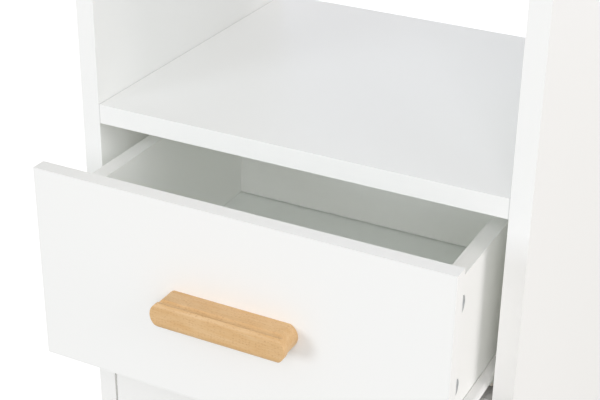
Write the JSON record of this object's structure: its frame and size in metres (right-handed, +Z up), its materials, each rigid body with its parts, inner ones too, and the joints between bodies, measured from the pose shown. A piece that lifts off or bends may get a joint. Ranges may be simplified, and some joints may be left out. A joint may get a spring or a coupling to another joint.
{
  "type": "bathroom storage tower",
  "caption": "Narrow free-standing bathroom cabinet with inset doors, a drawer on roller slides, an open-backed niche and beech pulls.",
  "frame": {"origin": "on the floor, under the middle of the tower's overall box as drawn: midway between the side panels, and midway between the front of the drawn-out drawer's pull and the back", "axes": "+Z up, -Y out of the front, +X to the right as seen from the front"},
  "size_m": [0.35, 0.4, 1.64],
  "materials": {
    "board_white": "particleboard with a white melamine face and white edge banding, satin",
    "hardboard_white": "thin hardboard, painted white on one face and bare brown on the other",
    "beech": "solid beech, clear satin lacquer",
    "dowel_wood": "plain fluted beech dowel, drawn smooth",
    "rail_white": "white epoxy-coated steel, satin",
    "nylon": "natural nylon",
    "white_plastic": "white moulded plastic",
    "zinc": "bright zinc plating",
    "nickel": "satin nickel plating"
  },
  "bodies": {
    "carcass": {"left_panel": "board_white", "right_panel": "board_white", "bottom_panel": "board_white", "drawer_divider": "board_white", "open_shelf": "board_white", "upper_floor": "board_white", "top_panel": "board_white", "plinth": "board_white", "lower_back": "hardboard_white", "upper_back": "hardboard_white", "lower_shelf": "board_white", "upper_shelf": "board_white", "shelf_pins": "white_plastic", "floor_glides": "white_plastic", "carcass_cams": "zinc", "carcass_bolts": "zinc", "carcass_dowels": "dowel_wood", "back_screws": "zinc", "wall_brackets": "zinc", "fitting_screws": "zinc", "catch_housings": "white_plastic", "catch_magnets": "zinc", "left_cabinet_rail": "rail_white", "right_cabinet_rail": "rail_white", "cabinet_rail_screws": "zinc", "lower_frame_leaves": "nickel", "upper_frame_leaves": "nickel", "lower_hinge_pins": "nickel", "upper_hinge_pins": "nickel", "frame_hinge_screws": "zinc"},
    "drawer": {"drawer_front": "board_white", "drawer_left_side": "board_white", "drawer_right_side": "board_white", "drawer_back": "board_white", "drawer_floor": "hardboard_white", "drawer_pull": "beech", "drawer_pull_screws": "zinc", "drawer_cams": "zinc", "drawer_bolts": "zinc", "drawer_back_screws": "zinc", "left_drawer_rail": "rail_white", "right_drawer_rail": "rail_white", "drawer_rail_screws": "zinc"},
    "lower_door": {"lower_door": "board_white", "lower_pull": "beech", "lower_pull_screws": "zinc", "lower_door_leaves": "nickel", "lower_hinge_screws": "zinc", "lower_strike": "zinc"},
    "upper_door": {"upper_door": "board_white", "upper_pull": "beech", "upper_pull_screws": "zinc", "upper_door_leaves": "nickel", "upper_hinge_screws": "zinc", "upper_strike": "zinc"},
    "left_front_roller": {"left_front_roller": "nylon"},
    "right_front_roller": {"right_front_roller": "nylon"},
    "left_rear_roller": {"left_rear_roller": "nylon"},
    "right_rear_roller": {"right_rear_roller": "nylon"}
  },
  "joints": [
    {"name": "drawer_slide", "type": "slide", "parent": "carcass", "child": "drawer", "axis": [0, -1, 0], "range_m": [-0.084, 0.105]},
    {"name": "lower_door_hinge", "type": "hinge", "parent": "carcass", "child": "lower_door", "pos_m": [-0.159, -0.097, 0.375], "axis": [0, 0, -1], "range_deg": [0, 170]},
    {"name": "upper_door_hinge", "type": "hinge", "parent": "carcass", "child": "upper_door", "pos_m": [-0.159, -0.097, 1.415], "axis": [0, 0, -1], "range_deg": [0, 170]},
    {"name": "left_front_roller_spin", "type": "hinge", "parent": "carcass", "child": "left_front_roller", "pos_m": [-0.1514, -0.0704, 0.7055], "axis": [1, 0, 0], "continuous": true},
    {"name": "left_rear_roller_spin", "type": "hinge", "parent": "drawer", "child": "left_rear_roller", "pos_m": [-0.15385, 0.0746, 0.7014], "axis": [1, 0, 0], "continuous": true},
    {"name": "right_front_roller_spin", "type": "hinge", "parent": "carcass", "child": "right_front_roller", "pos_m": [0.1514, -0.0704, 0.7055], "axis": [1, 0, 0], "continuous": true},
    {"name": "right_rear_roller_spin", "type": "hinge", "parent": "drawer", "child": "right_rear_roller", "pos_m": [0.15385, 0.0746, 0.7014], "axis": [1, 0, 0], "continuous": true}
  ],
  "couplings": [
    {"joint": "left_front_roller_spin", "follows": "drawer_slide", "rad_per_m": 142.86},
    {"joint": "left_rear_roller_spin", "follows": "drawer_slide", "rad_per_m": 106.38},
    {"joint": "right_front_roller_spin", "follows": "drawer_slide", "rad_per_m": 142.86},
    {"joint": "right_rear_roller_spin", "follows": "drawer_slide", "rad_per_m": 106.38}
  ]
}
